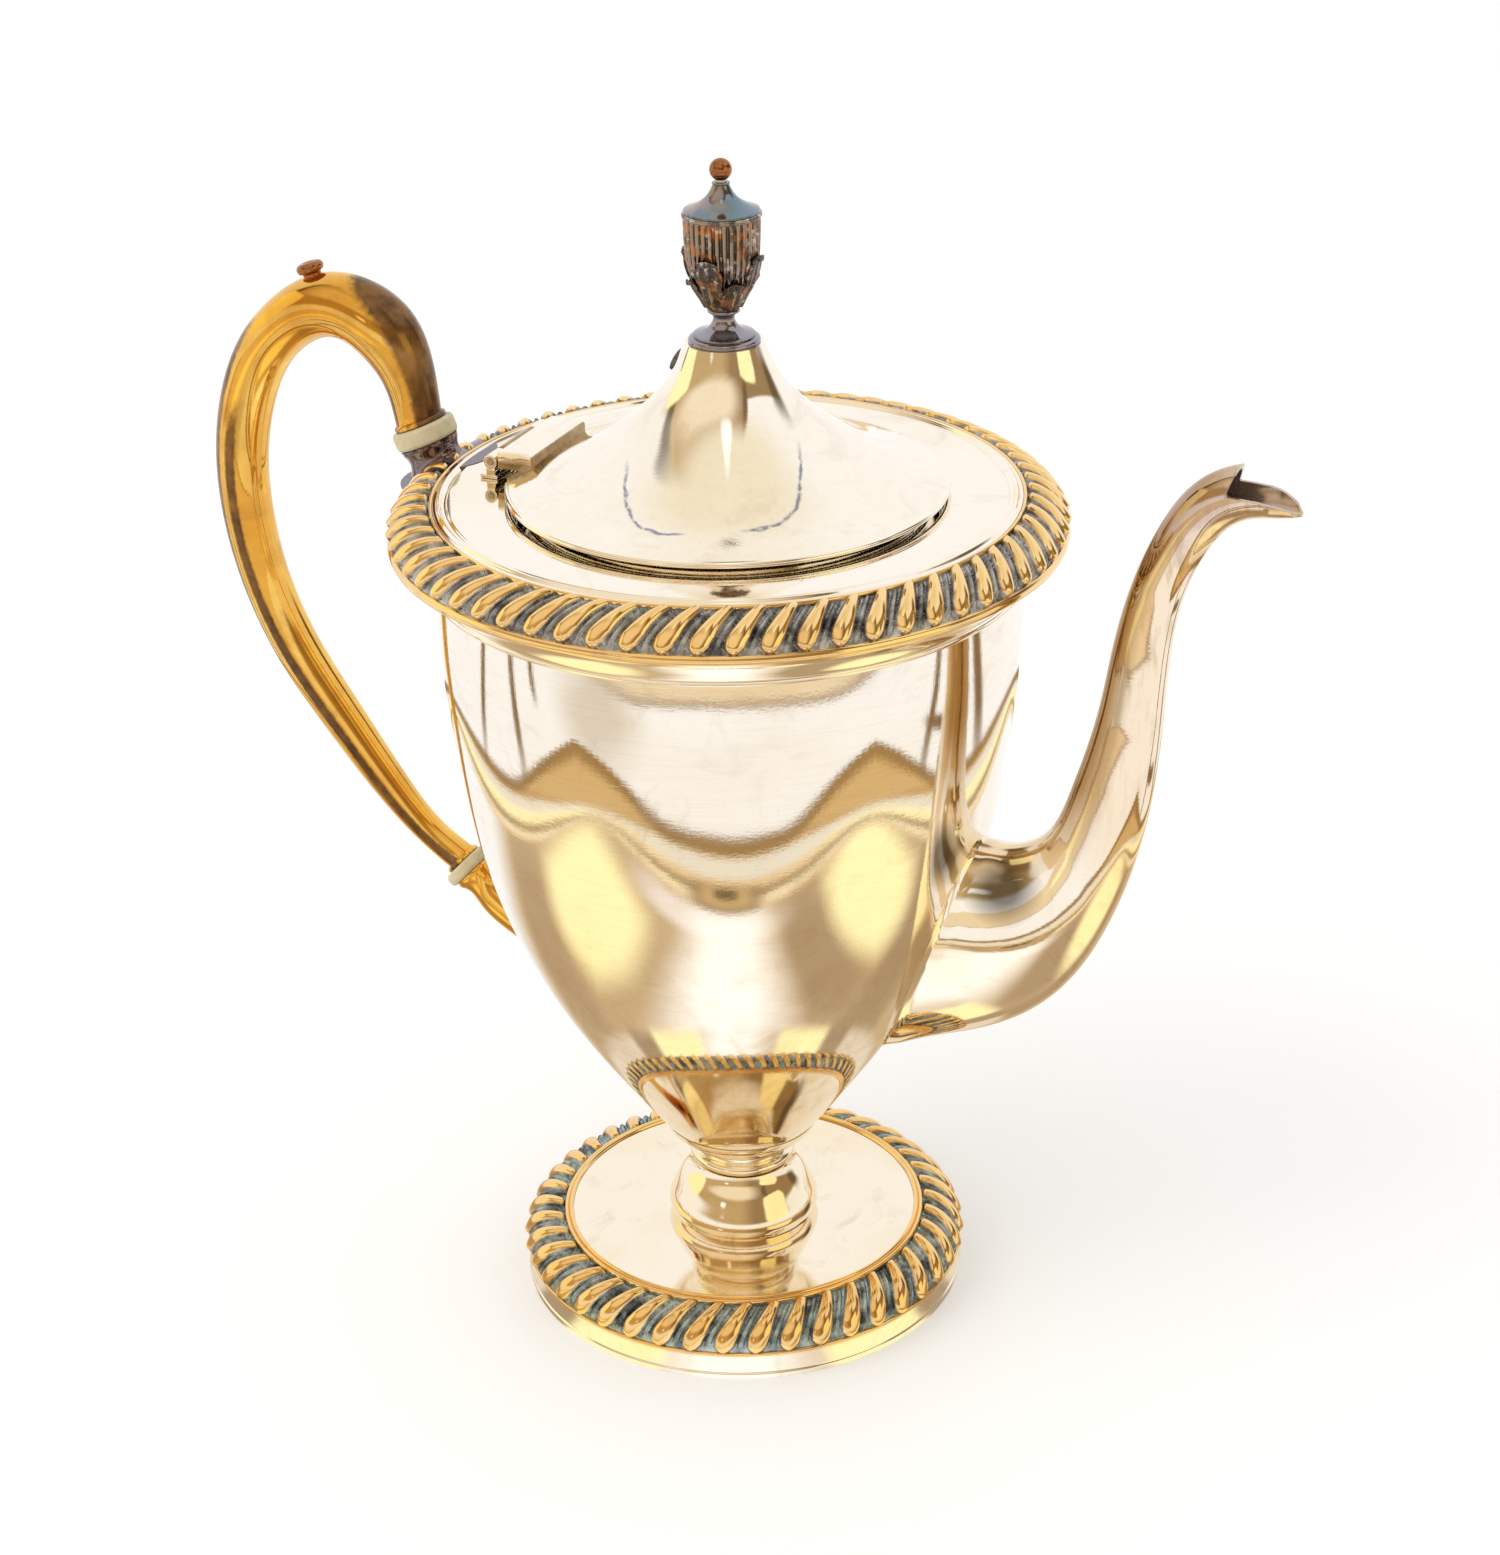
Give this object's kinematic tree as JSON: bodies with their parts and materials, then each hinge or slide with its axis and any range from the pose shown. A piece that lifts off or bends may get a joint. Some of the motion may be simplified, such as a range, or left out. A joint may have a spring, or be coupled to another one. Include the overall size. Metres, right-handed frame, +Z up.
{
  "type": "coffee pot",
  "caption": "Silver-plated pedestal coffee pot with a hinged bell lid and urn finial, gadrooned rim and foot, swan-neck spout and insulated hollow handle.",
  "frame": {"origin": "centre of the face that the foot rests on", "axes": "+Z up, +X toward the spout, -X toward the handle"},
  "size_m": [0.2527, 0.1458, 0.265],
  "materials": {
    "silver_plate": "mirror-polished silver plate with a warm champagne cast and fine scratches",
    "amber_toned_plate": "polished plate with amber tarnish",
    "oxidised_casting": "cast border, bright lobes and blue-grey oxidised recesses",
    "dark_tarnished_plate": "polished plate with dark violet-blue tarnish",
    "ivory_insulator": "smooth cream insulating ring",
    "fastener_steel": "plain turned steel"
  },
  "bodies": {
    "pot": {"body_shell": "silver_plate", "rim_cove": "silver_plate", "rim_border": "oxidised_casting", "shoulder_deck": "silver_plate", "lid_seat_collar": "silver_plate", "stem_neck": "silver_plate", "stem_knop": "silver_plate", "foot_plate": "silver_plate", "foot_border": "oxidised_casting", "foot_skirt": "silver_plate", "spout": "silver_plate", "upper_socket": "dark_tarnished_plate", "upper_insulator": "ivory_insulator", "handle_grip": "amber_toned_plate", "thumb_rest": "amber_toned_plate", "lower_insulator": "ivory_insulator", "lower_socket": "amber_toned_plate", "handle_pins": "fastener_steel", "hinge_bracket": "silver_plate", "hinge_pin": "fastener_steel"},
    "lid": {"lid_hinge_leaf": "silver_plate", "lid_shell": "silver_plate", "lid_edge_bead": "silver_plate", "lid_bezel": "silver_plate", "vent_ferrule": "silver_plate", "finial_base": "dark_tarnished_plate", "finial_urn": "dark_tarnished_plate", "finial_leaves": "dark_tarnished_plate", "finial_cap": "dark_tarnished_plate", "finial_ball": "amber_toned_plate", "finial_stud": "fastener_steel", "finial_washer": "fastener_steel", "finial_nut": "fastener_steel"}
  },
  "joints": [
    {"name": "lid_hinge", "type": "hinge", "parent": "pot", "child": "lid", "pos_m": [-0.0505, 0, 0.1968], "axis": [0, -1, 0], "range_deg": [0, 94]}
  ]
}
